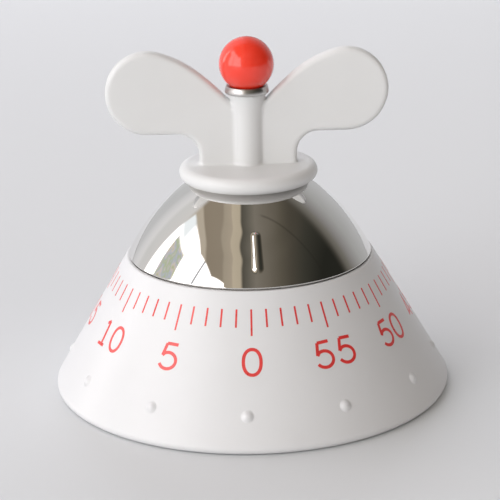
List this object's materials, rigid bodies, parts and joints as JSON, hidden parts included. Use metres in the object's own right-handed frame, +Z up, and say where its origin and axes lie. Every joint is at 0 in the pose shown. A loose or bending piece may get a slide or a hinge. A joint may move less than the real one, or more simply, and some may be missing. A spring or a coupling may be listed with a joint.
{
  "type": "kitchen timer",
  "caption": "Wind-up kitchen timer: white cone base with a minute scale, turning chrome dome with a pointer rib, white wing knob and red ball, clockwork inside.",
  "frame": {"origin": "centre of the base on the floor", "axes": "+Z up along the dial axis, -Y to the printed zero mark at the front, +X to the viewer's right"},
  "size_m": [0.1104, 0.1104, 0.0982],
  "materials": {
    "white_shell": "satin",
    "white_knob": "satin",
    "red_ball": "gloss",
    "chrome": "polished",
    "cover": "matte",
    "rubber": "matte",
    "brass": "satin",
    "steel": "brushed",
    "spring_steel": "blued",
    "bell": "polished"
  },
  "bodies": {
    "base": {"base_shell": "white_shell", "bottom_cover": "cover", "rubber_feet": "rubber", "cover_screws": "steel", "lower_plate": "brass", "upper_plate": "brass", "plate_pillars": "steel", "pillar_screws": "steel", "movement_screws": "steel", "thrust_washer": "steel", "spring_post": "steel", "mainspring": "spring_steel", "bell_cup": "bell", "bell_post": "steel", "bell_screw": "steel", "hammer_spring": "spring_steel", "alarm_spring": "spring_steel"},
    "dial": {"chrome_dome": "chrome", "wing_knob": "white_knob", "ball_ring": "chrome", "knob_ball": "red_ball", "knob_stud": "steel", "drive_hub": "brass", "dome_screws": "steel", "main_arbor": "steel", "great_wheel": "brass", "ratchet_wheel": "steel", "clicks": "steel", "alarm_cam": "brass"},
    "second": {"second_wheel": "brass", "second_arbor": "steel"},
    "third": {"third_wheel": "brass", "third_arbor": "steel"},
    "escape": {"escape_wheel": "brass", "escape_arbor": "steel"},
    "pallet": {"pallet_anchor": "steel", "pallet_arbor": "steel", "balance_ring": "brass"},
    "alarm": {"alarm_arbor": "steel", "alarm_lever": "steel"},
    "hammer": {"hammer_arbor": "steel", "hammer_arm": "steel", "hammer_head": "brass"}
  },
  "joints": [
    {"name": "dial_turn", "type": "hinge", "parent": "base", "child": "dial", "pos_m": [0, 0, 0.03], "axis": [0, 0, -1], "range_deg": [0, 360]},
    {"name": "second_spin", "type": "hinge", "parent": "base", "child": "second", "pos_m": [-0.01973, -0.00718, 0.022], "axis": [0, 0, -1], "continuous": true},
    {"name": "third_spin", "type": "hinge", "parent": "base", "child": "third", "pos_m": [-0.01452, -0.02157, 0.022], "axis": [0, 0, -1], "continuous": true},
    {"name": "escape_spin", "type": "hinge", "parent": "base", "child": "escape", "pos_m": [-0.00452, -0.02662, 0.022], "axis": [0, 0, -1], "continuous": true},
    {"name": "pallet_rock", "type": "hinge", "parent": "base", "child": "pallet", "pos_m": [0.00597, -0.02633, 0.022], "axis": [0, 0, -1], "range_deg": [-6, 6]},
    {"name": "alarm_lever_rock", "type": "hinge", "parent": "base", "child": "alarm", "pos_m": [0.01414, 0.01685, 0.022], "axis": [0, 0, 1], "range_deg": [0, 8], "stiffness_Nm_per_rad": 0.0002},
    {"name": "hammer_swing", "type": "hinge", "parent": "base", "child": "hammer", "pos_m": [0.02659, -0.00469, 0.018], "axis": [0, 0, -1], "range_deg": [-12, 2.5], "stiffness_Nm_per_rad": 0.0005}
  ],
  "couplings": [
    {"joint": "second_spin", "follows": "dial_turn", "ratio": -6},
    {"joint": "third_spin", "follows": "dial_turn", "ratio": 45},
    {"joint": "escape_spin", "follows": "dial_turn", "ratio": -270}
  ]
}
